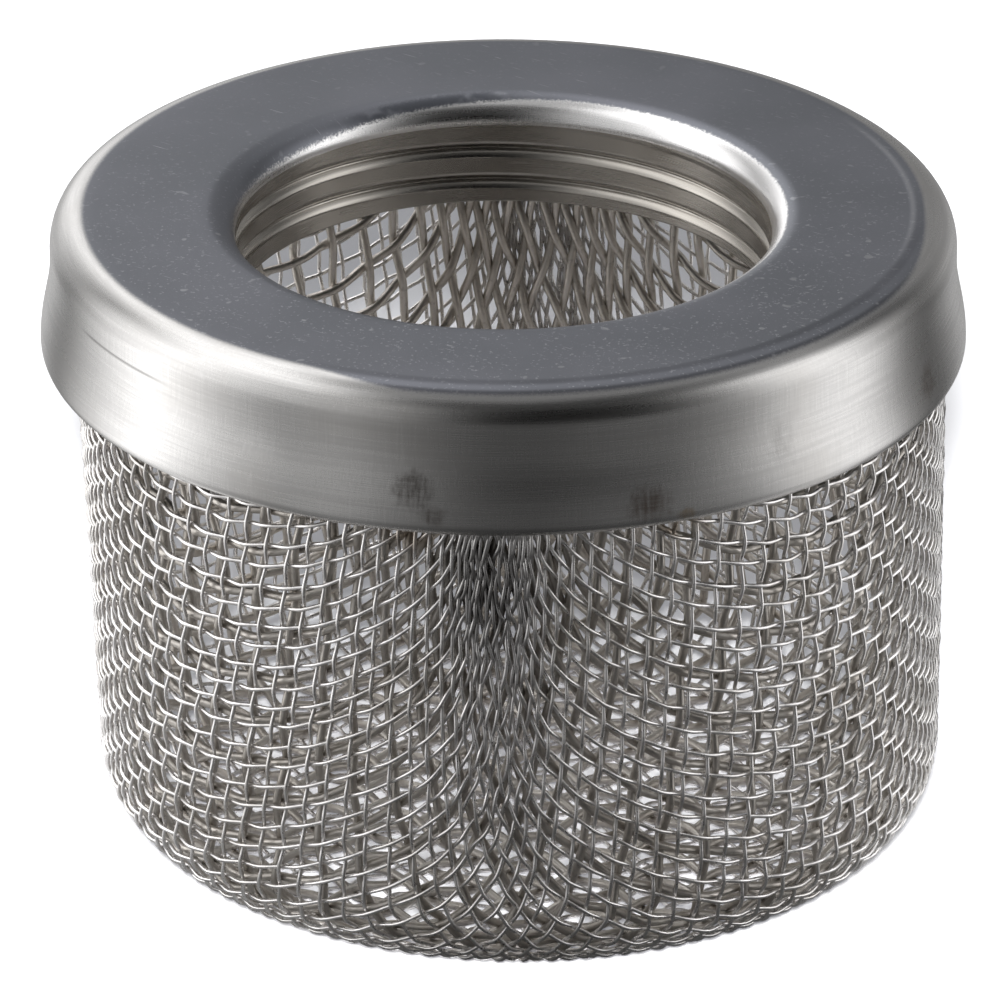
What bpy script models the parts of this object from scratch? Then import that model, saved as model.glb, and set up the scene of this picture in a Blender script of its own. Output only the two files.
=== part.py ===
"""Inlet strainer: a drawn steel cap with a turned-down neck, crimped over two nested woven wire cups.

Metres, +Z up. The part stands on the foot of the outer cup at z = 0, and the cap's axis is the Z axis.
Each woven cup is one flat square net of plain weave, pressed into a cup. The net keeps its squares on the
foot and along four lines of the wall, and shears into narrow diamonds along the four lines between them.
"""

import math

import bmesh
import bpy
import numpy as np
from mathutils import Vector

MM = 0.001

# Fits
CLEARANCE = 0.3 * MM  # between pieces that touch on the real part
RIM_LAP = 0.1 * MM  # how far a cup's rim band stands past the wires that it holds
CUP_GAP = 0.5 * MM  # between the two nets, whose facets cut across the foot's corner

# Basket, over the outside of the outer cup
TOTAL_HEIGHT = 43.7 * MM  # foot to the flat top of the cap
BASKET_RADIUS = 28.2 * MM  # at the cap's rolled edge
BASKET_DRAFT = math.radians(1.6)  # the wall narrows towards the foot
FOOT_CORNER_WIDTH = 8.6 * MM  # the foot's corner is a quarter of an ellipse
FOOT_CORNER_HEIGHT = 6.6 * MM
RIM_OFFSET = 0.5 * MM  # the basket is crimped in a little to the side of the cap's axis,
FOOT_OFFSET = 1.15 * MM  # and leans further to that side at its foot

# Cap, over the outside of its sheet
SHEET = 0.8 * MM
CAP_DEPTH = 9.6 * MM  # flat top to the underside of the rolled edge
SKIRT_STRAIGHT = 5.6 * MM  # flat top to the start of the swelling
SWELL = 0.65 * MM  # how far the crimped band stands out past the straight skirt
SHOULDER_RADIUS = 2.35 * MM
CURL_RADIUS = 0.95 * MM
CURL_LEG = 0.05 * MM  # shortest flat stretch after the curl, on the side that the basket leans to
BORE_RADIUS = 17.35 * MM
LIP_RADIUS = 1.9 * MM
NECK_DEPTH = 7.2 * MM  # flat top to the end of the neck

# Nets: each flat strand stands for a few wires, and passes over one crossing strand and under the next
FINE_STRAND_PITCH = 9.7 * MM
FINE_STRAND_WIDTH = 1.8 * MM
FINE_STRAND_HEIGHT = 0.3 * MM
COARSE_STRAND_PITCH = 12.4 * MM
COARSE_STRAND_WIDTH = 2.3 * MM
COARSE_STRAND_HEIGHT = 0.57 * MM
WIDEST_STRAND = 0.6  # the share of the pitch that a strand fills at most, where the shear crowds the strands
RIM_BAND = 0.6 * MM  # height of the pressed band at the top of each cup
RIM_GRIP = 0.05 * MM  # least reach into its band of a net's corner that would only graze it
NET_TURN = math.radians(45)  # the squares keep their shape along the diagonals of the X and Y axes

# Shear of the nets, in units of the basket's radius
LOCKED_SLOPE = 0.17  # least sideways share of a wire's direction where the net is sheared most
SHEAR_START = 0.8  # the net lies flat as a disc up to here,
SHEAR_SPAN = 0.3  # and is sheared all round from this much further out

# Facets
SHARP_ANGLE = math.radians(35)
TURNS = 52  # segments round the cap and the rim bands
BAND_TURN = math.pi / TURNS  # the middles of the bands' facets lie on the nets' lines of symmetry
SKIN_STEPS = 3  # facets of each arc of the cap's outside
LINING_STEPS = 2  # facets of each arc of its inside
MERIDIAN_STEPS = 24
FACET_STRAY = 0.09 * MM  # how far a strand's facets may stray from its curve

# Levels and radii that follow
CAP_BOTTOM = TOTAL_HEIGHT - CAP_DEPTH
CURL_CENTRE_RADIUS = BASKET_RADIUS + RIM_OFFSET + CLEARANCE + CURL_LEG
CAP_RADIUS = CURL_CENTRE_RADIUS + CURL_RADIUS
SKIRT_RADIUS = CAP_RADIUS - SWELL
FINE_BAND_BOTTOM = CAP_BOTTOM + SHEET + CLEARANCE
COARSE_BAND_BOTTOM = FINE_BAND_BOTTOM + RIM_BAND + CLEARANCE
FINE_THICKNESS = 2 * FINE_STRAND_HEIGHT  # over two crossed strands
COARSE_THICKNESS = 2 * COARSE_STRAND_HEIGHT
COARSE_DEPTH = FINE_THICKNESS + CUP_GAP  # outside of the inner cup, below the basket's skin
WALL_TOP = TOTAL_HEIGHT + BASKET_RADIUS  # the wall's line is drawn on past the rim, for the cut


def clear_scene():
    """Remove every object that the scene holds."""
    for thing in list(bpy.data.objects):
        bpy.data.objects.remove(thing, do_unlink=True)


def steel(name, colour, roughness):
    """Make a steel finish."""
    material = bpy.data.materials.new(name)
    material.use_nodes = True
    shader = material.node_tree.nodes["Principled BSDF"]
    shader.inputs["Base Color"].default_value = (*colour, 1.0)
    shader.inputs["Metallic"].default_value = 1.0
    shader.inputs["Roughness"].default_value = roughness
    return material


def add_object(name, bm, material):
    """Turn a bmesh into a smooth-shaded object."""
    bmesh.ops.recalc_face_normals(bm, faces=bm.faces)
    mesh = bpy.data.meshes.new(name)
    bm.to_mesh(mesh)
    bm.free()
    mesh.shade_smooth()
    mesh.set_sharp_from_angle(angle=SHARP_ANGLE)
    mesh.materials.append(material)
    thing = bpy.data.objects.new(name, mesh)
    bpy.context.scene.collection.objects.link(thing)
    return thing


def arc(centre_radius, centre_z, radius, start, end, steps):
    """Points of an arc in the plane of radius and height, from one angle to another in degrees."""
    points = []
    for step in range(steps + 1):
        angle = math.radians(start + (end - start) * step / steps)
        points.append((centre_radius + radius * math.cos(angle), centre_z + radius * math.sin(angle), 0.0))
    return points


def swelling(inset, steps):
    """The skirt from its straight part to the crimped band, inset from the outside of the sheet."""
    points = []
    top = TOTAL_HEIGHT - SKIRT_STRAIGHT
    fall = top - (CAP_BOTTOM + CURL_RADIUS)
    for step in range(steps):
        share = step / steps
        radius = SKIRT_RADIUS - inset + SWELL * (1 - math.cos(math.pi * share)) / 2
        points.append((radius, top - fall * share, 0.0))
    return points


def cap_side(inset, steps):
    """One side of the cap's sheet, from the end of the neck to the curl: (radius, height, sideways shift)."""
    side = [(BORE_RADIUS + inset, TOTAL_HEIGHT - NECK_DEPTH, 0.0)]
    lip_centre = BORE_RADIUS + LIP_RADIUS
    side += arc(lip_centre, TOTAL_HEIGHT - LIP_RADIUS, LIP_RADIUS - inset, 180, 90, steps)
    shoulder_centre = SKIRT_RADIUS - SHOULDER_RADIUS
    side += arc(shoulder_centre, TOTAL_HEIGHT - SHOULDER_RADIUS, SHOULDER_RADIUS - inset, 90, 0, steps)
    side += swelling(inset, steps)
    side += arc(CURL_CENTRE_RADIUS, CAP_BOTTOM + CURL_RADIUS, CURL_RADIUS - inset, 0, -90, steps)
    edge = BASKET_RADIUS + CLEARANCE
    side.append((edge, CAP_BOTTOM + inset, RIM_OFFSET))
    return side


def turned(outline, first_angle=0.0):
    """Turn a closed outline about the Z axis, from an angle. A point's ring may be shifted along X."""
    bm = bmesh.new()
    rings = []
    for radius, height, shift in outline:
        ring = []
        for turn in range(TURNS):
            angle = first_angle + 2 * math.pi * turn / TURNS
            ring.append(bm.verts.new((shift + radius * math.cos(angle), radius * math.sin(angle), height)))
        rings.append(ring)
    for lower, upper in zip(rings, rings[1:] + rings[:1]):
        for turn in range(TURNS):
            after = (turn + 1) % TURNS
            bm.faces.new((lower[turn], lower[after], upper[after], upper[turn]))
    return bm


def make_cap(material):
    """The drawn cap: neck, lip, flat top, shoulder, skirt and the edge rolled in round the basket."""
    outline = cap_side(0.0, SKIN_STEPS) + cap_side(SHEET, LINING_STEPS)[::-1]
    return add_object("cap", turned(outline), material)


def meridian():
    """The basket's skin from the middle of the foot up the wall: arc length, points and outward normals."""
    rise = CAP_BOTTOM - FOOT_CORNER_HEIGHT
    foot_radius = BASKET_RADIUS - math.tan(BASKET_DRAFT) * rise
    flat_radius = foot_radius - FOOT_CORNER_WIDTH
    points = [(0.0, 0.0), (flat_radius, 0.0)]
    normals = [(0.0, -1.0), (0.0, -1.0)]
    for step in range(1, MERIDIAN_STEPS + 1):
        angle = math.pi / 2 * step / MERIDIAN_STEPS
        across, up = math.sin(angle), math.cos(angle)
        points.append((flat_radius + FOOT_CORNER_WIDTH * across, FOOT_CORNER_HEIGHT * (1 - up)))
        normal = np.array((FOOT_CORNER_HEIGHT * across, -FOOT_CORNER_WIDTH * up))
        normals.append(tuple(normal / np.linalg.norm(normal)))
    points.append((foot_radius + math.tan(BASKET_DRAFT) * (WALL_TOP - FOOT_CORNER_HEIGHT), WALL_TOP))
    normals.append(normals[-1])
    points, normals = np.array(points), np.array(normals)
    lengths = np.concatenate(([0.0], np.cumsum(np.linalg.norm(np.diff(points, axis=0), axis=1))))
    return lengths, points, normals


def net_width(distance):
    """Sideways reach of a net's wires up to a distance from its middle line, in wall radii."""
    turning = math.sqrt(1 - LOCKED_SLOPE**2)
    inside = min(distance, turning)
    reach = (math.asin(inside) + inside * math.sqrt(1 - inside**2)) / 2
    return reach + LOCKED_SLOPE * max(0.0, distance - turning)


def net_rise(distance):
    """Height that the wires of one family gain over a distance, in units of the wall's radius."""
    return distance**2 / 2 if distance < 1 else distance - 0.5


def quarter_drape(a, b):
    """Where a point of a net's quarter lands: its angle from the first axis and its arc from the middle."""
    spread = math.hypot(a, b)
    flat_angle = math.atan2(b, a)
    half = net_width(1.0)
    if a <= 1 and b <= 1:
        across = net_width(b) + half - net_width(a)
    elif a >= b:
        across = half * net_width(b) / net_width(a)
    else:
        across = 2 * half - half * net_width(a) / net_width(b)
    wall_angle = across / half * math.pi / 4
    wall_arc = 0.5 + net_rise(a) + net_rise(b)
    share = min(1.0, max(0.0, (spread - SHEAR_START) / SHEAR_SPAN))
    share = share * share * (3 - 2 * share)
    return flat_angle + (wall_angle - flat_angle) * share, spread + (wall_arc - spread) * share


class Basket:
    """The form that both cups are pressed to."""

    def __init__(self):
        self.lengths, self.points, self.normals = meridian()

    def place(self, u, v, depth):
        """The point of the net at (u, v), at a depth below the basket's skin."""
        angle, length = quarter_drape(abs(u) / BASKET_RADIUS, abs(v) / BASKET_RADIUS)
        angle = math.atan2(math.copysign(math.sin(angle), v), math.copysign(math.cos(angle), u))
        length *= BASKET_RADIUS
        radius, height = (np.interp(length, self.lengths, self.points[:, axis]) for axis in (0, 1))
        across, up = (np.interp(length, self.lengths, self.normals[:, axis]) for axis in (0, 1))
        radius -= depth * across
        height -= depth * up
        shift = FOOT_OFFSET + (RIM_OFFSET - FOOT_OFFSET) * height / CAP_BOTTOM
        angle += NET_TURN
        return (shift + radius * math.cos(angle), radius * math.sin(angle), height)

    def wall_radius(self, height, depth):
        """The wall's radius at a height, at a depth below the basket's skin."""
        return BASKET_RADIUS + math.tan(BASKET_DRAFT) * (height - CAP_BOTTOM) - depth


class Net:
    """A plain weave of flat strands, as one closed body with an opening between each four strands."""

    def __init__(self, basket, pitch, width, height, depth, rim):
        """Take the strands' pitch, width and height, the net's depth below the skin and its band's bottom."""
        self.basket = basket
        self.rim = rim
        self.pitch = pitch
        self.width = width
        self.levels = (depth, depth + height, depth + 2 * height)
        self.bm = bmesh.new()
        self.verts = {}

    def vert(self, corner):
        """The net's vertex at a corner, given as (u, v, depth), made once. None only grazes the band."""
        key = tuple(round(value, 9) for value in corner)
        if key not in self.verts:
            place = Vector(self.basket.place(*corner))
            if abs(place.z - self.rim) < RIM_GRIP:
                place.z = self.rim + RIM_GRIP
            self.verts[key] = self.bm.verts.new(place)
        return self.verts[key]

    def half_width(self, column, row):
        """Half of a strand's width at a crossing, along the net: more where the shear narrows it."""
        u, v = column * self.pitch, row * self.pitch
        here = Vector(self.basket.place(u, v, 0.0))
        across = Vector(self.basket.place(u + self.width / 2, v, 0.0)) - here
        along = Vector(self.basket.place(u, v + self.width / 2, 0.0)) - here
        least = self.width / (WIDEST_STRAND * self.pitch)
        return self.width / max(least, math.sin(across.angle(along, 0.0))) / 2

    def crossing(self, column, row):
        """Faces of the block where two strands cross, open where its four strands leave it."""
        outer, middle, inner = self.levels
        half = self.half_width(column, row)
        ring = []
        for across, along in ((-1, -1), (1, -1), (1, 1), (-1, 1)):
            ring.append((column * self.pitch + across * half, row * self.pitch + along * half))
        faces = [[(*place, outer) for place in ring], [(*place, inner) for place in ring]]
        for side in range(4):
            start, end = ring[side], ring[(side + 1) % 4]
            over = (column + row + side) % 2 == 0
            high, low = (middle, inner) if over else (outer, middle)
            faces.append([(*start, high), (*end, high), (*end, low), (*start, low)])
        return faces

    def strand(self, column, row, ahead):
        """Faces of the strand from a crossing to the next. ahead is (1, 0) along u or (0, 1) along v."""
        halves = [self.half_width(column, row), self.half_width(column + ahead[0], row + ahead[1])]
        start = [line * self.pitch + step * halves[0] for line, step in zip((column, row), ahead)]
        reach = self.pitch - sum(halves)
        end = [place + step * reach for place, step in zip(start, ahead)]
        over = (column + row) % 2 == ahead[0]
        count = self.facets(start, end)
        sections = []
        for step in range(count + 1):
            share = step / count
            half = halves[0] + (halves[1] - halves[0]) * share
            fall = (share if over else 1 - share) * (self.levels[1] - self.levels[0])
            u, v = (place + way * reach * share for place, way in zip(start, ahead))
            section = []
            for side, level in ((-half, 0), (half, 0), (half, 1), (-half, 1)):
                section.append((u + side * ahead[1], v + side * ahead[0], self.levels[level] + fall))
            sections.append(section)
        faces = []
        for first, second in zip(sections, sections[1:]):
            for side in range(4):
                after = (side + 1) % 4
                faces.append([first[side], first[after], second[after], second[side]])
        return faces

    def facets(self, start, end):
        """How many facets follow the net closely enough from one place to another."""
        first, last = (Vector(self.basket.place(*place, 0.0)) for place in (start, end))
        stray = 0.0
        for share in (0.25, 0.5, 0.75):
            between = [s + (e - s) * share for s, e in zip(start, end)]
            offset = Vector(self.basket.place(*between, 0.0)) - first
            stray = max(stray, (offset - offset.project(last - first)).length)
        return max(1, math.ceil(math.sqrt(stray / FACET_STRAY)))

    def weave(self):
        """Lay every strand that reaches the middle of the band, cut the net there and close the cut."""
        cut_height = self.rim + RIM_BAND / 2
        reach = math.ceil((BASKET_RADIUS + cut_height + self.pitch) / self.pitch)
        for column in range(-reach, reach + 1):
            for row in range(-reach, reach + 1):
                pieces = [self.crossing(column, row)]
                pieces += [self.strand(column, row, ahead) for ahead in ((1, 0), (0, 1))]
                for faces in pieces:
                    heights = [self.basket.place(*corner)[2] for face in faces for corner in face]
                    if min(heights) < cut_height:
                        for face in faces:
                            self.bm.faces.new([self.vert(corner) for corner in face])
        geometry = self.bm.verts[:] + self.bm.edges[:] + self.bm.faces[:]
        plane = {"plane_co": (0, 0, cut_height), "plane_no": (0, 0, 1)}
        bmesh.ops.bisect_plane(self.bm, geom=geometry, dist=1e-7, clear_outer=True, **plane)
        edge = [e for e in self.bm.edges if e.is_boundary]
        bmesh.ops.triangle_fill(self.bm, edges=edge, use_beauty=True, normal=(0, 0, 1))
        return self.bm


def rim_band(cup, basket, bottom, outer_radius, inner_depth):
    """Join a cup to the pressed band at its top, round the cap's axis outside and the basket's inside."""
    top = bottom + RIM_BAND
    outline = [
        (outer_radius, bottom, 0.0),
        (outer_radius, top, 0.0),
        (basket.wall_radius(top, inner_depth), top, RIM_OFFSET),
        (basket.wall_radius(bottom, inner_depth), bottom, RIM_OFFSET),
    ]
    band = add_object(cup.name + "_band", turned(outline, BAND_TURN), cup.data.materials[0])
    band.hide_render = True
    band.display_type = "WIRE"
    joint = cup.modifiers.new("rim", "BOOLEAN")
    joint.operation = "UNION"
    joint.solver = "EXACT"
    joint.object = band


def make_fine_cup(basket, material):
    """The outer cup, whose net lies at the basket's skin."""
    net = Net(basket, FINE_STRAND_PITCH, FINE_STRAND_WIDTH, FINE_STRAND_HEIGHT, 0.0, FINE_BAND_BOTTOM)
    cup = add_object("fine_mesh_cup", net.weave(), material)
    outer = CAP_RADIUS - SHEET - CLEARANCE
    rim_band(cup, basket, FINE_BAND_BOTTOM, outer, FINE_THICKNESS + RIM_LAP)


def make_coarse_cup(basket, material):
    """The inner cup, inside the outer one."""
    strands = (COARSE_STRAND_PITCH, COARSE_STRAND_WIDTH, COARSE_STRAND_HEIGHT)
    net = Net(basket, *strands, COARSE_DEPTH, COARSE_BAND_BOTTOM)
    cup = add_object("coarse_mesh_cup", net.weave(), material)
    outer = SKIRT_RADIUS - SHEET - CLEARANCE
    rim_band(cup, basket, COARSE_BAND_BOTTOM, outer, COARSE_DEPTH + COARSE_THICKNESS + RIM_LAP)


def main():
    """Build the strainer."""
    clear_scene()
    cap_steel = steel("cap_steel", (0.42, 0.41, 0.40), 0.32)
    mesh_steel = steel("mesh_steel", (0.40, 0.39, 0.375), 0.32)
    coarse_wire_steel = steel("coarse_wire_steel", (0.36, 0.345, 0.32), 0.35)
    basket = Basket()
    make_cap(cap_steel)
    make_fine_cup(basket, mesh_steel)
    make_coarse_cup(basket, coarse_wire_steel)


main()
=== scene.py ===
"""Looks of the inlet strainer: a drawn steel cap with a threaded neck, crimped over two woven wire cups."""

import logging
import math
from dataclasses import dataclass, field
from enum import Enum

import bmesh
import bpy
import numpy as np
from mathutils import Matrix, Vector


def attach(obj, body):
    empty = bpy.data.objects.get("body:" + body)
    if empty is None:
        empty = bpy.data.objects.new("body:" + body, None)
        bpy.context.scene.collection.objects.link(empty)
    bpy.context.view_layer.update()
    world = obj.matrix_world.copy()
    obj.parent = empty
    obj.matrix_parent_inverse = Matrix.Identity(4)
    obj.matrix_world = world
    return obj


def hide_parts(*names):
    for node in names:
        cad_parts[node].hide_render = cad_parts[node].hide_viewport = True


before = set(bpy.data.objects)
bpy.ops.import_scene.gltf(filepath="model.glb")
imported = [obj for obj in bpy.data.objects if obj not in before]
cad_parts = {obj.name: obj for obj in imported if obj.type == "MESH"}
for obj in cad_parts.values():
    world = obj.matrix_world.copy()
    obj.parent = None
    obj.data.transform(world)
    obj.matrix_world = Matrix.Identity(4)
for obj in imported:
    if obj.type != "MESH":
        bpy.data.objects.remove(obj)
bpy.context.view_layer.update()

LOG = logging.getLogger("inlet_strainer")
MM = 0.001

Array = np.ndarray
Colour = tuple[float, float, float]
Span = tuple[float, float]  # a start and an end or a length
Window = tuple[float, float, float, float]  # where a soft band starts, is full, starts to fade and ends
Knots = tuple[Span, ...]  # places, each with its value
Ring = tuple[float, float, float]  # radius, depth below the flat top and sideways shift


class Family(Enum):
    """The two directions of a plain weave."""

    WARP = 0
    WEFT = 1


class Slot(Enum):
    """The record's material slots."""

    CAP = "cap_steel"
    FINE = "mesh_steel"
    COARSE = "coarse_wire_steel"


# ---- shader expressions


class Value:
    """A node socket that takes part in Python expressions."""

    def __init__(self, graph: "Graph", socket: bpy.types.NodeSocket) -> None:
        """Wrap an output socket of a graph."""
        self.graph = graph
        self.socket = socket

    def _math(self, operation: str, first: object, second: object = None) -> "Value":
        """Add a Math node to the graph and return its result."""
        values = {0: first} if second is None else {0: first, 1: second}
        return self.graph.node("ShaderNodeMath", {"operation": operation}, values)

    def __add__(self, other: object) -> "Value":
        """Sum."""
        return self._math("ADD", self, other)

    def __sub__(self, other: object) -> "Value":
        """Difference."""
        return self._math("SUBTRACT", self, other)

    def __rsub__(self, other: object) -> "Value":
        """Difference from a number."""
        return self._math("SUBTRACT", other, self)

    def __mul__(self, other: object) -> "Value":
        """Product."""
        return self._math("MULTIPLY", self, other)

    def __truediv__(self, other: object) -> "Value":
        """Quotient."""
        return self._math("DIVIDE", self, other)

    __radd__ = __add__
    __rmul__ = __mul__

    def size(self) -> "Value":
        """Absolute value."""
        return self._math("ABSOLUTE", self)

    def root(self) -> "Value":
        """Square root."""
        return self._math("SQRT", self)

    def least(self, other: object) -> "Value":
        """The lesser of two values."""
        return self._math("MINIMUM", self, other)

    def most(self, other: object) -> "Value":
        """The greater of two values."""
        return self._math("MAXIMUM", self, other)

    def turn(self, other: "Value") -> "Value":
        """Angle whose sine and cosine are in proportion to this value and the other."""
        return self._math("ARCTAN2", self, other)


class Graph:
    """A node tree, built from expressions."""

    def __init__(self, owner: bpy.types.ID | str) -> None:
        """Start in a new material of that name, in a world or in a tree."""
        self.owner = owner = bpy.data.materials.new(owner) if isinstance(owner, str) else owner
        if isinstance(owner, bpy.types.NodeTree):
            self.tree = owner
        else:
            owner.use_nodes = True
            self.tree = owner.node_tree
            self.tree.nodes.clear()

    def node(
        self, kind: str, settings: dict | None = None, values: dict | None = None, output: object = 0
    ) -> Value:
        """Add a node.

        Args:
            kind: The node's type.
            settings: Its settings, set first.
            values: Values or links of its input sockets, by name or number.
            output: Name or number of the output to return.

        Returns:
            The output socket, wrapped.
        """
        made = self.tree.nodes.new(kind)
        for key, setting in (settings or {}).items():
            if key == "stops":
                self.fill(made.color_ramp, setting)
            else:
                setattr(made, key, setting)
        for key, value in (values or {}).items():
            if isinstance(value, Value):
                self.tree.links.new(value.socket, made.inputs[key])
            else:
                made.inputs[key].default_value = value
        return Value(self, made.outputs[output])

    def fill(self, ramp: bpy.types.ColorRamp, stops: list[tuple[float, Colour]]) -> None:
        """Set a ramp's stops, each a place from 0 to 1 and a colour."""
        while len(ramp.elements) > 1:
            ramp.elements.remove(ramp.elements[-1])
        ramp.elements[0].position = stops[0][0]
        ramp.elements[0].color = (*stops[0][1], 1.0)
        for place, colour in stops[1:]:
            ramp.elements.new(place).color = (*colour, 1.0)

    def position(self) -> Value:
        """The place on the piece, in metres."""
        return self.node("ShaderNodeTexCoord", output="Object")

    def split(self, vector: Value) -> tuple[Value, Value, Value]:
        """The three parts of a vector."""
        made = self.node("ShaderNodeSeparateXYZ", values={0: vector}).socket.node
        return tuple(Value(self, made.outputs[axis]) for axis in range(3))

    def noise(self, vector: Value, scale: float | tuple, detail: float = 2.0, rough: float = 0.5) -> Value:
        """Smooth noise from 0 to 1, with one scale or with one for each axis."""
        if isinstance(scale, tuple):
            vector = self.node("ShaderNodeVectorMath", {"operation": "MULTIPLY"}, {0: vector, 1: scale})
            scale = 1.0
        values = {"Vector": vector, "Scale": scale, "Detail": detail, "Roughness": rough}
        return self.node("ShaderNodeTexNoise", values=values, output="Fac")

    def band(self, value: object, low: float, high: float) -> Value:
        """A soft step from 0 at one value to 1 at another."""
        settings = {"interpolation_type": "SMOOTHSTEP"}
        values = {"Value": value, "From Min": low, "From Max": high}
        return self.node("ShaderNodeMapRange", settings, values, "Result")

    def window(self, value: Value, start: float, full: float, fade: float, end: float) -> Value:
        """1 from one value to another, with soft ends."""
        return self.band(value, start, full) * (1 - self.band(value, fade, end))

    def line(self, value: Value, middle: float, core: float, reach: float) -> Value:
        """1 where a value is within the core's distance of the middle, and 0 past the reach."""
        return 1 - self.band((value - middle).size(), core, reach)

    def blend(self, factor: object, first: object, second: object) -> Value:
        """A mix of two colours."""
        values = {0: factor}
        for key, colour in ((6, first), (7, second)):
            values[key] = colour if isinstance(colour, Value) else (*colour, 1.0)
        return self.node("ShaderNodeMix", {"data_type": "RGBA"}, values, 2)

    def polar(self, place: Value) -> tuple[Value, Value, Value]:
        """A place's distance from the axis, its angle to the right of the front and its height."""
        across, along, height = self.split(place)
        return (across * across + along * along).root(), across.turn(0 - along), height

    def metal(self, colour: Value, rough: Value, height: Value, distance: float) -> bpy.types.Material:
        """Make the owner a metal whose bumps have that height at most, in metres."""
        normal = self.node("ShaderNodeBump", values={"Height": height, "Distance": distance, "Strength": 1.0})
        values = {"Metallic": 1.0, "Base Color": colour, "Roughness": rough, "Normal": normal}
        return self.finish(self.node("ShaderNodeBsdfPrincipled", values=values))

    def finish(self, result: Value, kind: str = "ShaderNodeOutputMaterial") -> bpy.types.ID:
        """Join the result to an output node of that kind and return the tree's owner."""
        end = self.tree.nodes.new(kind)
        self.tree.links.new(result.socket, end.inputs[0])
        return self.owner


# ---- finishes


@dataclass(frozen=True)
class StainOrShade:
    """A soft patch of a wall: a mark, heat tint, dirt, or, at the wires' front seam, painted shade."""

    angle: float  # from the front, in radians
    height: float
    reach: tuple[float, float]  # round the wall and up
    depth: float
    colour: Colour

    def mask(self, graph: Graph, angle: Value, height: Value, radius: float, ragged: Value) -> Value:
        """How much of the patch there is, on a wall of that radius and with a ragged edge."""
        aside = (angle - self.angle) * radius / self.reach[0]
        above = (height - self.height) / self.reach[1]
        away = (aside * aside + above * above).root() + ragged
        return (1 - graph.band(away, 0.3, 1.1)) * self.depth


@dataclass(frozen=True)
class Layer:
    """What a finish gives to each point of a surface."""

    colour: Value
    rough: Value
    height: Value


@dataclass(frozen=True)
class RolledSteel:
    """The flat top: dull sheet with fine specks, small bright scratches, a faint ring near its edge painted as
    a highlight on the right, and a dark line of painted shade at the front's brow.
    """

    colour: Colour = (0.195, 0.203, 0.227)
    roughness: float = 0.42
    # a faint bright ring near the edge, on the right only: painted highlight
    ring: float = 26.5 * MM
    ring_width: float = 0.35 * MM
    ring_angles: Window = (1.15, 1.5, 1.9, 2.2)  # from the front, in radians
    ring_highlight_colour: Colour = (0.6, 0.6, 0.62)
    brow: float = 26.9 * MM  # a dark line of painted shade where the front's flat starts to turn down
    brow_widths: Span = (0.1 * MM, 0.55 * MM)
    brow_angles: Window = (-0.7, -0.1, 1.3, 1.8)
    brow_shade_colour: Colour = (0.09, 0.095, 0.11)
    bare: Colour = (0.72, 0.73, 0.76)
    cloud_colour: Colour = (0.29, 0.29, 0.33)
    wear: Span = (0.9, 2.4)  # the angles over which the specks get fewer
    scratch_turn: float = 0.6

    def layer(self, graph: Graph, place: Value, radius: Value, angle: Value) -> Layer:
        """Work out the finish."""
        cloud = graph.noise(place, 90.0, 3.0)
        worn = 1 - graph.band(angle.size(), *self.wear) * 0.75
        speck = graph.band(graph.noise(place, 4200.0, 1.0), 0.62, 0.76) * worn
        dent = graph.band(graph.noise(place, 1000.0, 1.0), 0.70, 0.78) * worn
        values = {"Vector": place, "Rotation": (0.0, 0.0, self.scratch_turn)}
        scratch = graph.noise(graph.node("ShaderNodeMapping", None, values), (600.0, 9000.0, 600.0), 1.0)
        scratch = graph.band(scratch, 0.72, 0.80)
        colour = graph.blend((speck * 0.3 + dent * 0.4 + scratch * 0.4).least(1.0), self.colour, self.bare)
        # painted highlight: the bright ring on the right
        ring = graph.line(radius, self.ring, 0.0, self.ring_width) * graph.window(angle, *self.ring_angles)
        colour = graph.blend(ring * 0.35, colour, self.ring_highlight_colour)
        # painted shade: the dark line at the front's brow
        brow = graph.line(radius, self.brow, *self.brow_widths) * graph.window(angle, *self.brow_angles)
        colour = graph.blend(brow * 0.65, colour, self.brow_shade_colour)
        colour = graph.blend(graph.band(cloud, 0.35, 0.7) * 0.25, colour, self.cloud_colour)
        rough = self.roughness + (cloud - 0.5) * 0.10 - dent * 0.12
        return Layer(colour, rough, graph.noise(place, 2600.0, 2.0) * 0.6 + speck * 0.6)


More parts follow.
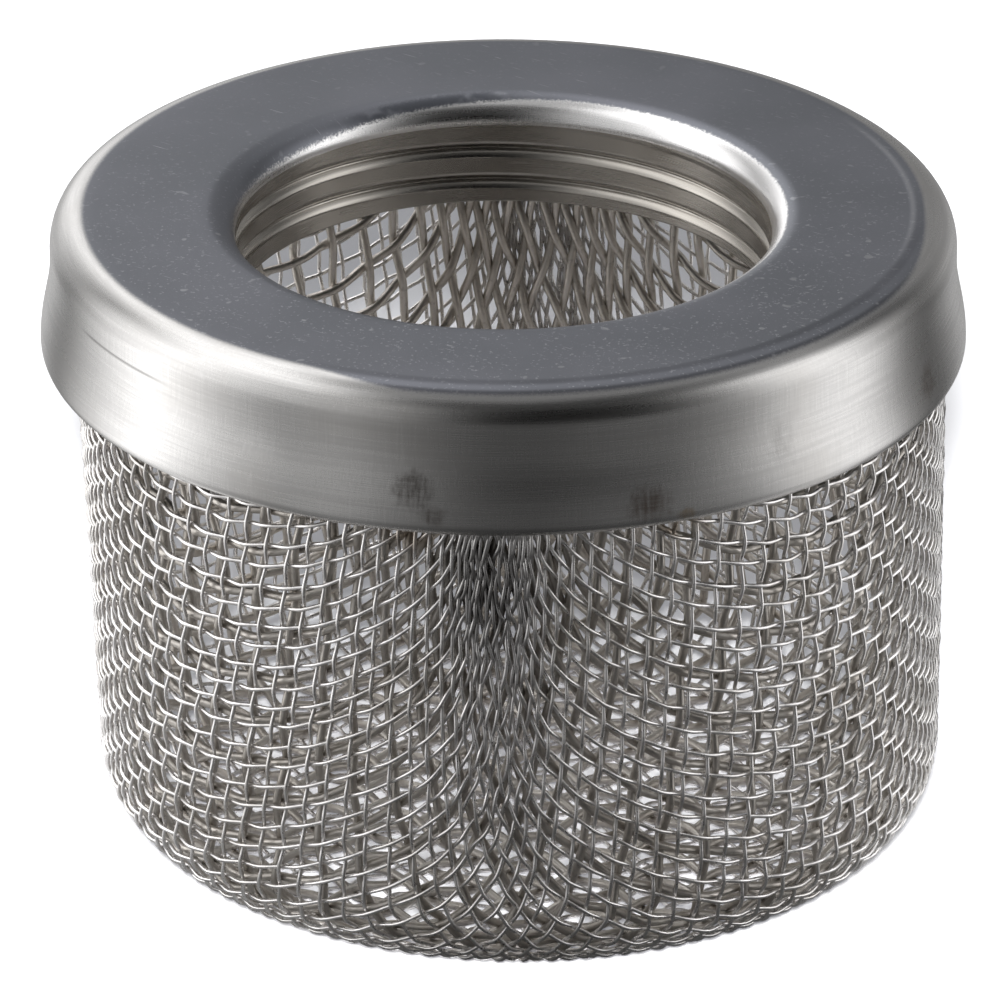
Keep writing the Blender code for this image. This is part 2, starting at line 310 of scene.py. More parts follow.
@dataclass(frozen=True)
class BrushedSteel:
    """The skirt and the lip: satin sheet, brushed round the axis, with stains and marks from the crimping, and
    a crease whose dark colour is painted shade.
    """

    colour: Colour = (0.60, 0.59, 0.58)
    roughness: float = 0.28
    radius: float = 29.7 * MM
    stains: tuple[StainOrShade, ...] = (
        StainOrShade(-0.195, 37.3 * MM, (1.6 * MM, 1.5 * MM), 0.85, (0.15, 0.135, 0.125)),
        StainOrShade(-0.150, 35.6 * MM, (1.0 * MM, 0.8 * MM), 0.8, (0.13, 0.105, 0.09)),
        StainOrShade(0.310, 35.9 * MM, (1.9 * MM, 1.3 * MM), 0.8, (0.17, 0.125, 0.10)),
        StainOrShade(0.400, 34.9 * MM, (0.7 * MM, 0.5 * MM), 0.7, (0.36, 0.25, 0.13)),
        StainOrShade(0.640, 38.2 * MM, (1.3 * MM, 1.9 * MM), 0.4, (0.30, 0.29, 0.28)),
        StainOrShade(1.150, 37.0 * MM, (1.3 * MM, 1.5 * MM), 0.6, (0.20, 0.15, 0.12)),
        StainOrShade(-0.560, 38.6 * MM, (2.2 * MM, 1.3 * MM), 0.25, (0.80, 0.79, 0.78)),
    )
    # a groove on the left, cut in the bumps; its dark colour is painted shade
    crease: float = 40.4 * MM
    crease_width: float = 0.16 * MM
    crease_angles: Window = (-1.2, -1.1, -0.90, -0.80)  # from the front, in radians
    crease_shade_colour: Colour = (0.16, 0.155, 0.15)
    grain_colour: Colour = (0.47, 0.46, 0.455)
    mark_colour: Colour = (0.72, 0.71, 0.70)
    cloud_colour: Colour = (0.45, 0.42, 0.38)

    def layer(self, graph: Graph, place: Value, height: Value, angle: Value) -> Layer:
        """Work out the finish."""
        cloud = graph.noise(place, 120.0, 3.0)
        line = graph.noise(place, (90.0, 90.0, 4200.0), 3.0, 0.7)
        fine = graph.noise(place, (260.0, 260.0, 15000.0), 2.0, 0.6)
        upright = graph.noise(place, (9000.0, 9000.0, 260.0), 2.0, 0.6)
        marks = graph.noise(place, (2600.0, 2600.0, 120.0), 2.0, 0.6)
        grain = line * 0.45 + fine * 0.3 + upright * 0.25
        colour = graph.blend(graph.band(grain, 0.38, 0.62) * 0.55, self.colour, self.grain_colour)
        marked = graph.band(marks, 0.60, 0.72) * graph.band(cloud, 0.45, 0.6)
        colour = graph.blend(marked * 0.3, colour, self.mark_colour)
        colour = graph.blend(graph.band(cloud, 0.45, 0.75) * 0.2, colour, self.cloud_colour)
        across = graph.noise(place, (500.0, 500.0, 6000.0), 3.0, 0.7)
        down = graph.noise(place, (4200.0, 4200.0, 350.0), 2.0, 0.6)
        ragged = (graph.noise(place, 1100.0, 3.0, 0.7) - 0.5) * 1.6
        smear = graph.band(across * 0.25 + down * 0.45 + ragged * 0.2 + 0.15, 0.30, 0.62)
        for stain in self.stains:
            mask = stain.mask(graph, angle, height, self.radius, ragged) * smear
            colour = graph.blend(mask, colour, stain.colour)
        # painted shade darkens the crease's groove
        crease = graph.line(height, self.crease, 0.0, self.crease_width)
        crease = crease * graph.window(angle, *self.crease_angles)
        colour = graph.blend(crease * 0.7, colour, self.crease_shade_colour)
        rough = self.roughness + (grain - 0.5) * 0.18 + (cloud - 0.5) * 0.06
        return Layer(colour, rough, grain + marks * 0.3 - crease)


@dataclass(frozen=True)
class CapSteel:
    """The sheet of the cap: dull on the flat top and over the brow of the lip, bright past a grainy border,
    with painted shade along the lip's edge at the back-left and over the shoulder at the front and right.
    """

    name: str = "cap_sheet"
    rolled: RolledSteel = RolledSteel()
    brushed: BrushedSteel = BrushedSteel()
    inner_border: float = 18.36 * MM
    outer_border: float = 27.25 * MM
    outer_lean: float = 0.95 * MM  # how much further out the dull sheet comes at the front and the right
    inner_lean: float = 0.9 * MM  # how much nearer the dull sheet comes to the neck at the left
    softness: float = 0.2 * MM
    graininess: float = 0.6 * MM
    left: Span = (-8 * MM, 18 * MM)  # sideways places over which the inner border leans
    right: Window = (-0.5, -0.2, 1.0, 1.6)  # angles where the outer border leans
    lip_edge_shade: float = 0.35 * MM  # a grainy dark line of painted shade, past the inner border
    lip_edge_shade_widths: Span = (0.1 * MM, 0.65 * MM)
    lip_edge_shade_back: Span = (10 * MM, 15 * MM)
    lip_edge_shade_left: Window = (-2 * MM, 2 * MM, 8 * MM, 12 * MM)
    lip_edge_shade_colour: Colour = (0.09, 0.095, 0.11)
    polished: Span = (20 * MM, 21 * MM)  # radii up to which the lip is polished
    polish_colour: Colour = (0.90, 0.89, 0.89)
    # a dark band of painted shade over the shoulder at the front and right, in the bright and the dull sheet
    # alike
    shoulder_shade: Window = (27.7 * MM, 28.0 * MM, 28.6 * MM, 29.0 * MM)
    shoulder_shade_bright: Colour = (0.16, 0.16, 0.165)
    shoulder_shade_dull: Colour = (0.05, 0.05, 0.055)
    relief: float = 0.007 * MM

    def material(self) -> bpy.types.Material:
        """Build the material."""
        graph = Graph(self.name)
        place = graph.position()
        radius, angle, height = graph.polar(place)
        across, along, _ = graph.split(place)
        aside = 0 - across
        dull = self.rolled.layer(graph, place, radius, angle)
        bright = self.brushed.layer(graph, place, height, angle)
        stray = (graph.noise(place, 6500.0, 3.0, 0.8) - 0.5) * self.graininess
        past = radius + stray + graph.band(aside, *self.left) * self.inner_lean - self.inner_border
        inner = graph.band(past, -self.softness / 2, self.softness / 2)
        # painted shade: a grainy dark line just past the inner border, at the back-left of the lip
        lip_edge_shade = graph.line(past, self.lip_edge_shade, *self.lip_edge_shade_widths) * graph.band(along, *self.lip_edge_shade_back)
        lip_edge_shade = lip_edge_shade * graph.band(graph.noise(place, 700.0, 2.0), 0.3, 0.5)
        lip_edge_shade = lip_edge_shade * graph.window(aside, *self.lip_edge_shade_left)
        right = graph.window(angle, *self.right)
        past = radius + stray * 0.5 - right * self.outer_lean - self.outer_border
        mask = inner * (1 - graph.band(past, -self.softness, self.softness))
        polish = 1 - graph.band(radius, *self.polished)
        shine = graph.blend(polish * 0.75, bright.colour, self.polish_colour)
        # painted shade over the shoulder at the front and right
        shoulder_shade = graph.window(radius, *self.shoulder_shade) * right
        shine = graph.blend(shoulder_shade * 0.5, shine, self.shoulder_shade_bright)
        matte = graph.blend(lip_edge_shade * 0.8, dull.colour, self.lip_edge_shade_colour)
        matte = graph.blend(shoulder_shade * 0.6, matte, self.shoulder_shade_dull)
        rough = bright.rough + (dull.rough - bright.rough) * mask
        bumps = bright.height * (1 - mask) * 1.4 + dull.height * mask
        return graph.metal(graph.blend(mask, shine, matte), rough, bumps, self.relief)


@dataclass(frozen=True)
class ThreadSteel:
    """The neck: smoother, warmer steel, burnished along the thread."""

    name: str = "thread_steel"
    colour: Colour = (0.43, 0.405, 0.37)
    cloud_colour: Colour = (0.33, 0.31, 0.29)
    roughness: float = 0.26
    relief: float = 0.006 * MM

    def material(self) -> bpy.types.Material:
        """Build the material."""
        graph = Graph(self.name)
        place = graph.position()
        cloud = graph.noise(place, (160.0, 160.0, 700.0), 3.0)
        line = graph.noise(place, (120.0, 120.0, 7000.0), 2.0)
        colour = graph.blend(graph.band(cloud, 0.4, 0.8) * 0.5, self.colour, self.cloud_colour)
        rough = self.roughness + (line - 0.5) * 0.12 + (cloud - 0.5) * 0.1
        return graph.metal(colour, rough, line, self.relief)


@dataclass(frozen=True)
class WireSteel:
    """Drawn wire, a little stained where liquid has dried, with rust under the rolled edge, and painted shade
    over the front half and where the wires crowd at the front seam.
    """

    name: str
    colour: Colour
    stain: Colour
    roughness: float
    front_shade: float = 0.0  # painted shade: how much darker the front half is than the back
    front_shade_reach: Span = (-5 * MM, 15 * MM)  # towards the front
    front_shade_colour: Colour = (0.30, 0.28, 0.255)
    grain_colour: Colour = (0.2, 0.19, 0.18)
    wall: float = 28 * MM
    relief: float = 0.004 * MM
    seam_shade_and_rust: tuple[StainOrShade, ...] = (  # painted shade where the wires crowd at the front seam, and rust under the rolled edge
        StainOrShade(-0.035, 30.0 * MM, (3.2 * MM, 6.0 * MM), 0.55, (0.13, 0.125, 0.12)),
        StainOrShade(0.41, 33.4 * MM, (1.8 * MM, 1.3 * MM), 0.7, (0.33, 0.22, 0.11)),
        StainOrShade(-0.22, 33.2 * MM, (2.0 * MM, 1.3 * MM), 0.6, (0.30, 0.22, 0.14)),
        StainOrShade(-1.02, 33.4 * MM, (4.5 * MM, 1.4 * MM), 0.6, (0.22, 0.19, 0.12)),
    )

    def material(self) -> bpy.types.Material:
        """Build the material."""
        graph = Graph(self.name)
        place = graph.position()
        patch = graph.noise(place, 160.0, 3.0)
        grain = graph.noise(place, 2400.0, 2.0)
        _, angle, height = graph.polar(place)
        front = 0 - graph.split(place)[1]
        colour = graph.blend(graph.band(patch, 0.42, 0.72) * 0.6, self.colour, self.stain)
        colour = graph.blend(graph.band(grain, 0.55, 0.8) * 0.35, colour, self.grain_colour)
        # painted shade over the front half
        front_shade_mask = graph.band(front, *self.front_shade_reach) * self.front_shade
        colour = graph.blend(front_shade_mask, colour, self.front_shade_colour)
        # painted shade at the crowded front seam, then the rust spots
        for stain in self.seam_shade_and_rust:
            mask = stain.mask(graph, angle, height, self.wall, (patch - 0.5) * 1.2)
            colour = graph.blend(mask, colour, stain.colour)
        return graph.metal(colour, self.roughness + (grain - 0.5) * 0.18, grain, self.relief)


# ---- pieces


def add_object(name: str, data: bpy.types.ID) -> bpy.types.Object:
    """Put a new object with that data at the origin."""
    thing = bpy.data.objects.new(name, data)
    bpy.context.scene.collection.objects.link(thing)
    return thing


def plain_mesh(name: str, bm: bmesh.types.BMesh, materials: list[bpy.types.Material]) -> bpy.types.Object:
    """Turn a bmesh into a smooth object at the origin, its materials in the order of the faces' numbers."""
    mesh = bpy.data.meshes.new(name)
    bm.to_mesh(mesh)
    bm.free()
    mesh.shade_smooth()
    for material in materials:
        mesh.materials.append(material)
    return add_object(name, mesh)


def ease(share: Array | float) -> Array | float:
    """A smooth step of a share that is kept from 0 to 1."""
    share = np.clip(share, 0.0, 1.0)
    return share * share * (3 - 2 * share)


def between(place: Array, knots: Knots) -> Array:
    """Values between knots, each a place and a value, with soft corners."""
    places, values = np.array(knots, float).T
    low = np.clip(np.searchsorted(places, place) - 1, 0, len(places) - 2)
    share = np.clip((place - places[low]) / (places[low + 1] - places[low]), 0.0, 1.0)
    return values[low] + (values[low + 1] - values[low]) * (share + ease(share)) / 2


def from_front(angle: Array) -> Array:
    """Degrees to the right of the front, of angles about the axis from +X."""
    return np.degrees(np.angle(np.exp(1j * (angle + math.pi / 2))))


@dataclass
class Cap:
    """The drawn cap, from the threaded neck over the lip, top and skirt to the rolled edge."""

    top: float = 43.7 * MM
    sheet: float = 0.8 * MM
    bore: float = 17.35 * MM
    neck: float = 7.2 * MM
    lip: float = 1.9 * MM
    skirt: float = 29.35 * MM
    shoulder: float = 2.35 * MM
    straight: float = 3.4 * MM
    swell: float = 0.65 * MM
    curl: float = 0.95 * MM
    depth: float = 9.6 * MM
    edge: float = 28.4 * MM
    edge_shift: float = 0.5 * MM
    pitch: float = 2.235 * MM
    groove: float = 0.52 * MM
    groove_reach: float = 0.68 * MM  # along the axis, from a groove's root to the round crest
    groove_start: float = 1.30 * MM  # below the flat top, at the back
    root_round: float = 0.03 * MM
    run_in: Span = (1.5 * MM, 0.9 * MM)  # where the groove starts and how soon it is full
    run_out: Span = (0.25 * MM, 0.5 * MM)  # the same, up from the neck's end
    back_share: float = 0.8  # how much of the groove shows on the neck's other side
    back_lead: float = 0.1 * MM
    lip_top: float = 0.3 * MM  # depth from which the lip is too flat to be cut into levels
    lip_share: float = 0.9  # of the lip, above which it has the sheet's finish
    turns: int = 288
    neck_rings: int = 60
    thread_rings: int = 104

    def thread(self, fall: float, angle: Array) -> Array:
        """How deep the groove is, outwards, at a depth below the flat top and at angles from +X."""
        lead = self.groove_start - self.pitch * (angle - math.pi / 2) / (2 * math.pi)
        phase = (fall - lead) / self.pitch
        away = np.hypot(np.abs(phase - np.round(phase)) * self.pitch, self.root_round)
        begin = ease((fall - self.run_in[0]) / self.run_in[1])
        end = ease((self.neck - self.run_out[0] - fall) / self.run_out[1])
        return self.groove * np.clip(1 - away / self.groove_reach, 0.0, 1.0) ** 2 * (end * begin)

    def skirt_radius(self, fall: float) -> float:
        """The skirt's radius at a depth below the flat top."""
        span = self.depth - self.curl - self.straight
        share = min(1.0, max(0.0, (fall - self.straight) / span))
        return self.skirt + self.swell * (1 - math.cos(math.pi * share)) / 2

    def bend(self, middle: float, fall: float, radius: float, quarters: Array) -> list[Ring]:
        """Rings of a bend, at quarter turns from straight up towards the outside."""
        angles = quarters * math.pi / 2
        return [(middle + radius * math.sin(angle), fall - radius * math.cos(angle), 0.0) for angle in angles]

    def outside(self) -> list[Ring]:
        """Rings of the outer skin past the lip."""
        low, end = self.depth - self.curl, self.skirt - self.shoulder
        rings = [(radius, 0.0, 0.0) for radius in np.linspace(self.bore + self.lip, end, 13)]
        rings += self.bend(end, self.shoulder, self.shoulder, np.linspace(0, 1, 17)[1:])
        rings += [(self.skirt_radius(fall), fall, 0.0) for fall in np.linspace(self.shoulder, low, 25)[1:]]
        shares = np.linspace(0, 1, 13)[1:]
        curl = self.bend(self.skirt + self.swell - self.curl, low, self.curl, 1 + shares)
        rings += [(radius, fall, self.edge_shift * share**4) for share, (radius, fall, _) in zip(shares, curl)]
        return rings + [(self.edge, fall, self.edge_shift) for fall in (self.depth, self.depth - self.sheet)]

    def inside(self) -> list[Ring]:
        """Rings of the inner skin, from the rolled edge back to the lip."""
        low, end = self.depth - self.curl, self.skirt - self.shoulder
        middle = self.skirt + self.swell - self.curl
        rings = self.bend(middle, low, self.curl - self.sheet, np.linspace(2, 1, 4))
        for fall in np.linspace(low, self.shoulder, 9)[1:]:
            rings.append((self.skirt_radius(fall) - self.sheet, fall, 0.0))
        rings += self.bend(end, self.shoulder, self.shoulder - self.sheet, np.linspace(1, 0, 7)[1:])
        return rings + self.bend(self.bore + self.lip, self.lip, self.lip - self.sheet, -np.linspace(0, 1, 7))

    def lip_radius(self, fall: float) -> float:
        """The lip's radius at a depth below the flat top."""
        if fall >= self.lip:
            return self.bore
        return self.bore + self.lip - math.sqrt(self.lip**2 - (self.lip - fall) ** 2)

    def build(self, materials: list[bpy.types.Material]) -> bpy.types.Object:
        """Build the cap as one closed shell, with the finishes of the sheet and of the thread."""
        angle = np.arange(self.turns) * 2 * math.pi / self.turns
        bm = bmesh.new()
        rings = []

        def ring(radius: Array, fall: Array, shift: float, finish: int) -> None:
            """Add a ring of vertices."""
            radius, fall = np.broadcast_to(radius, angle.shape), np.broadcast_to(fall, angle.shape)
            places = zip(shift + radius * np.cos(angle), radius * np.sin(angle), self.top - fall)
            rings.append(([bm.verts.new(place) for place in places], finish))

        for radius, fall, shift in self.outside() + self.inside():
            ring(radius, fall, shift, 0)
        for fall in np.linspace(self.lip, self.neck, self.neck_rings + 1)[1:]:
            groove = self.back_share * self.thread(fall - self.back_lead, angle)
            ring(self.bore + self.sheet + groove, fall, 0.0, 1)
        for fall in np.linspace(self.neck, self.lip_top, self.thread_rings + 1):
            radius = np.maximum(self.bore + self.thread(fall, angle), self.lip_radius(fall))
            ring(radius, fall, 0.0, 1 if fall > self.lip_share * self.lip else 0)
        for share in (0.8, 0.6, 0.4, 0.2):
            lean = math.acos(1 - self.lip_top / self.lip) * share
            ring(self.bore + self.lip * (1 - math.sin(lean)), self.lip * (1 - math.cos(lean)), 0.0, 0)
        for (lower, _), (upper, finish) in zip(rings, rings[1:] + rings[:1]):
            for turn in range(self.turns):
                after = (turn + 1) % self.turns
                face = bm.faces.new((lower[turn], upper[turn], upper[after], lower[after]))
                face.material_index = finish
        bmesh.ops.recalc_face_normals(bm, faces=bm.faces)
        return plain_mesh("cap_shell", bm, materials)


@dataclass(frozen=True)
class Basket:
    """The form that both woven cups are pressed to."""

    rim_height: float = 34.1 * MM
    radius: float = 28.3 * MM
    draft: float = math.radians(1.6)
    corner_width: float = 8.6 * MM
    corner_height: float = 6.6 * MM
    rim_shift: float = 0.5 * MM
    foot_shift: float = 1.15 * MM
    flare_height: float = 34.5 * MM
    flare: float = 0.9 * MM
    corner_steps: int = 40
    flare_steps: int = 10

    def meridian(self) -> tuple[Array, Array, Array]:
        """Arc lengths, points and outward normals from the middle of the foot to the rim."""
        slope = math.tan(self.draft)
        foot = self.radius - slope * (self.rim_height - self.corner_height)
        flat = foot - self.corner_width
        points = [(0.0, 0.0), (flat, 0.0)]
        for angle in np.linspace(0, math.pi / 2, self.corner_steps + 1)[1:]:
            reach, rise = self.corner_width * math.sin(angle), self.corner_height * (1 - math.cos(angle))
            points.append((flat + reach, rise))
        wall = foot + slope * (self.flare_height - self.corner_height)
        for angle in np.linspace(0, math.pi / 2, self.flare_steps + 1):
            reach, rise = self.flare * (1 - math.cos(angle)), self.flare * math.sin(angle)
            points.append((wall + reach, self.flare_height + rise))
        points = np.array(points)
        ahead = np.gradient(points, axis=0)
        ahead /= np.linalg.norm(ahead, axis=1)[:, None]
        normals = np.stack((ahead[:, 1], -ahead[:, 0]), axis=1)
        normals[0] = (0.0, -1.0)
        lengths = np.concatenate(([0.0], np.cumsum(np.linalg.norm(np.diff(points, axis=0), axis=1))))
        return lengths, points, normals


@dataclass
class WovenCup:
    """A square plain weave pressed into a cup. It shears along four lines of the wall."""

    name: str
    slot: Slot
    node: str
    wire: float
    pitch: float
    depth: float  # of the weave's middle below the basket's skin
    locked_slope: float  # least sideways share of a wire's direction
    net_radius: float
    steps: int
    sides: int
    waver: float
    seed: int
    mess: float  # how far the wires stray where the net is sheared most
    crowding: float = 4.0
    mess_spread: float = math.radians(8)
    stray_waves: int = 12
    stray_lengths: Span = (1.5, 3.5)  # in pitches
    stray_shares: tuple[float, float, float] = (0.7, 1.2, 0.6)  # sideways, upwards and outwards
    ruck_rise: float = 9 * MM  # height above the foot's corner where the mess is full
    rim_hold: float = 4 * MM  # height below the rim where the rim starts to hold the wires
    blend_start: float = 0.8  # distance from the middle, in net radii, where the foot turns into wall
    blend_span: float = 0.3
    turns: Knots = (  # of the net, at degrees to the right of the front
        (-180, -5.5), (-90, -5.0), (-55, -5.0), (-20, -3.9), (-8, -2.0), (0, -2.7), (8, -3.8),
        (20, -2.2), (34, -0.4), (45, 0.4), (60, 0.6), (90, 0.0), (140, -4.0), (180, -5.5),
    )
    leans: Knots = (  # of the wall's wires to the right, over the wall's height
        (-180, 4.0), (-90, 6.0), (-60, 10.0), (-30, 10.0), (0, 1.5), (20, 4.5), (45, 5.5),
        (90, 4.0), (180, 4.0),
    )
    rucks: Knots = (  # share of the mess
        (-180, 0.8), (-120, 0.3), (-50, 0.3), (-15, 1.0), (15, 1.0), (50, 0.3), (120, 0.3),
        (180, 0.8),
    )
    basket: Basket = field(default_factory=Basket)

    def width(self, distance: Array) -> Array:
        """Sideways reach of the wires up to a distance from the net's middle line."""
        turning = math.sqrt(1 - self.locked_slope**2)
        inner = np.minimum(distance, turning)
        reach = (np.arcsin(inner) + inner * np.sqrt(1 - inner**2)) / 2
        return reach + self.locked_slope * np.maximum(0.0, distance - turning)

    def crowd(self, reach: Array, widest: Array, room: Array) -> Array:
        """Press wires that reach past the room they have together, most where the net is sheared most."""
        widest = np.maximum(widest, 1e-9)
        return reach - np.maximum(widest - room, 0.0) * (reach / widest) ** self.crowding

    def drape(self, u: Array, v: Array) -> tuple[Array, Array]:
        """Where points of the flat net land.

        Args:
            u: Distances across the warp, in net radii.
            v: Distances across the weft.

        Returns:
            Angles about the axis and arc lengths from the middle, in net radii.
        """
        a, b = np.abs(u), np.abs(v)
        spread = np.hypot(a, b)
        flat = np.arctan2(b, a)
        wide_a, wide_b, half = self.width(a), self.width(b), self.width(np.array(1.0))
        both = wide_b + half - wide_a
        first = self.crowd(wide_b, wide_a, half)
        second = 2 * half - self.crowd(wide_a, wide_b, half)
        across = np.where((a <= 1) & (b <= 1), both, np.where(a >= b, first, second))
        wall = across / half * math.pi / 4
        rise = 0.5
        for distance in (a, b):
            rise = rise + np.where(distance < 1, distance**2 / 2, distance - 0.5)
        share = ease((spread - self.blend_start) / self.blend_span)
        angle = flat + (wall - flat) * share
        angle = np.arctan2(np.copysign(np.sin(angle), v), np.copysign(np.cos(angle), u))
        return angle, spread + (rise - spread) * share

    def lay(self, u: Array, v: Array) -> tuple[Array, Array, Array]:
        """Lay points of the net on the basket.

        Args:
            u: Distances across the warp, in metres.
            v: Distances across the weft.

        Returns:
            Points, outward normals and arc lengths.
        """
        angle, arc = self.drape(u / self.net_radius, v / self.net_radius)
        arc = arc * self.net_radius
        lengths, points, normals = self.basket.meridian()
        radius, height, across, up = (
            np.interp(arc, lengths, column) for column in (*points.T, *normals.T)
        )
        radius, height = radius - self.depth * across, height - self.depth * up
        angle = angle + math.pi / 4
        aside, above, out = self.stray(u, v, angle, height)
        angle = angle + aside / radius
        height, radius = np.maximum(height + above, 0.0), radius + out
        shift = self.basket.foot_shift
        shift = shift + (self.basket.rim_shift - shift) * height / self.basket.rim_height
        front = from_front(angle)
        rise = height / self.basket.rim_height - 0.5
        angle = angle + np.radians(between(front, self.turns) + between(front, self.leans) * rise)
        places = np.stack((shift + radius * np.cos(angle), radius * np.sin(angle), height), axis=-1)
        outward = np.stack((across * np.cos(angle), across * np.sin(angle), up), axis=-1)
        return places, outward, arc

    def stray(
        self, u: Array, v: Array, angle: Array, height: Array
    ) -> tuple[Array, Array, Array]:
        """How far the net's points stray where the shear has rucked the wires.

        Args:
            u: Distances across the warp, in metres.
            v: Distances across the weft.
            angle: Angles about the axis, from +X.
            height: Heights.

        Returns:
            Distances sideways, upwards and outwards.
        """
        draws = np.random.default_rng(self.seed + 100)
        away = np.mod(angle + math.pi / 4, math.pi / 2) - math.pi / 4
        front = from_front(angle)
        rucked = self.mess * between(front, self.rucks) * np.exp(-((away / self.mess_spread) ** 2))
        rucked = rucked * ease((height - self.basket.corner_height) / self.ruck_rise)
        strays = []
        for share in self.stray_shares:
            stray = 0.0
            for _ in range(self.stray_waves):
                length = draws.uniform(*self.stray_lengths) * self.pitch
                turn, phase = draws.uniform(0, 2 * math.pi, 2)
                way = (u * math.cos(turn) + v * math.sin(turn)) * 2 * math.pi / length
                stray = stray + np.cos(way + phase) * math.sqrt(2 / self.stray_waves)
            strays.append(share * stray * rucked)
        aside, above, out = strays
        held = ease((self.basket.rim_height - height) / self.rim_hold)
        return aside, above * held, out * held

    def crossings(self) -> tuple[int, Array, Array]:
        """Half the number of wires, and the uneven crossings' places across the warp and the weft."""
        draws = np.random.default_rng(self.seed)
        length = self.basket.meridian()[0][-1]
        count = math.ceil(length / self.pitch) + 2
        line = (np.arange(-count, count + 1) + 0.5) * self.pitch
        grid_u, grid_v = np.meshgrid(line, line, indexing="ij")
        size = self.pitch * self.waver
        grid_u = grid_u + draws.normal(0, size, len(line))[:, None]
        grid_v = grid_v + draws.normal(0, size, len(line))[None, :]
        for wave in range(6):
            reach = draws.uniform(4, 14) * self.pitch
            turn, phase = draws.uniform(0, 2 * math.pi, 2)
            swing = np.sin((grid_u * math.cos(turn) + grid_v * math.sin(turn)) / reach + phase)
            grid_u = grid_u + swing * size * math.sin(2 * turn + wave)
            grid_v = grid_v + swing * size * math.cos(2 * turn + wave)
        grid_u = grid_u + draws.normal(0, 0.6 * size, grid_u.shape)
        grid_v = grid_v + draws.normal(0, 0.6 * size, grid_v.shape)
        return count, grid_u, grid_v

    def guides(self, family: Family) -> bpy.types.Object:
        """Lay one family's middle lines, with each point's outward direction and its lift, from -1 to 1."""
        count, grid_u, grid_v = self.crossings()
        limit = self.basket.meridian()[0][-1] * 0.9995
        places, outwards, lifts, edges = [], [], [], []
        steps = np.arange((2 * count) * self.steps + 1) / self.steps
        below = np.arange(2 * count + 1)
        for wire in range(2 * count + 1):
            grids = (grid_u, grid_v) if family is Family.WARP else (grid_u.T, grid_v.T)
            u, v = (np.interp(steps, below, grid[wire]) for grid in grids)
            spots, outward, arc = self.lay(u, v)
            inside = np.flatnonzero(arc < limit)
            if len(inside) < 3 * self.steps:
                continue
            run = slice(inside[0], inside[-1] + 1)
            side = (1 if family is Family.WARP else -1) * (-1) ** wire
            first = len(places)
            places.extend(spots[run])
            outwards.extend(outward[run])
            lifts.extend(side * np.cos(math.pi * steps[run]))
            edges.extend((point, point + 1) for point in range(first, len(places) - 1))
        mesh = bpy.data.meshes.new(f"{self.name}_{family.name.lower()}_guide")
        mesh.from_pydata([tuple(place) for place in places], edges, [])
        mesh.attributes.new("outward", "FLOAT_VECTOR", "POINT").data.foreach_set(
            "vector", np.array(outwards, np.float32).ravel()
        )
        mesh.attributes.new("lift", "FLOAT", "POINT").data.foreach_set("value", np.array(lifts, np.float32))
        return add_object(mesh.name, mesh)

    def build(self, family: Family, material: bpy.types.Material) -> bpy.types.Object:
        """Sweep one family's wires along their guides, as one mesh."""
        guide = self.guides(family)
        sizes = {
            "Wire Diameter": self.wire,
            "Crimp Height": self.wire / 2,
            "Sides": self.sides,
            "Material": material,
        }
        return WireSweep().apply(guide, f"{self.name}_{family.name.lower()}", sizes)

    def dress(self, material: bpy.types.Material) -> None:
        """Build both families and put them in the cup's place."""
        for family in Family:
            wires = self.build(family, material)
            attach(wires, "root")
            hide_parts(self.node)
            LOG.info("%s: %d faces", wires.name, len(wires.data.polygons))


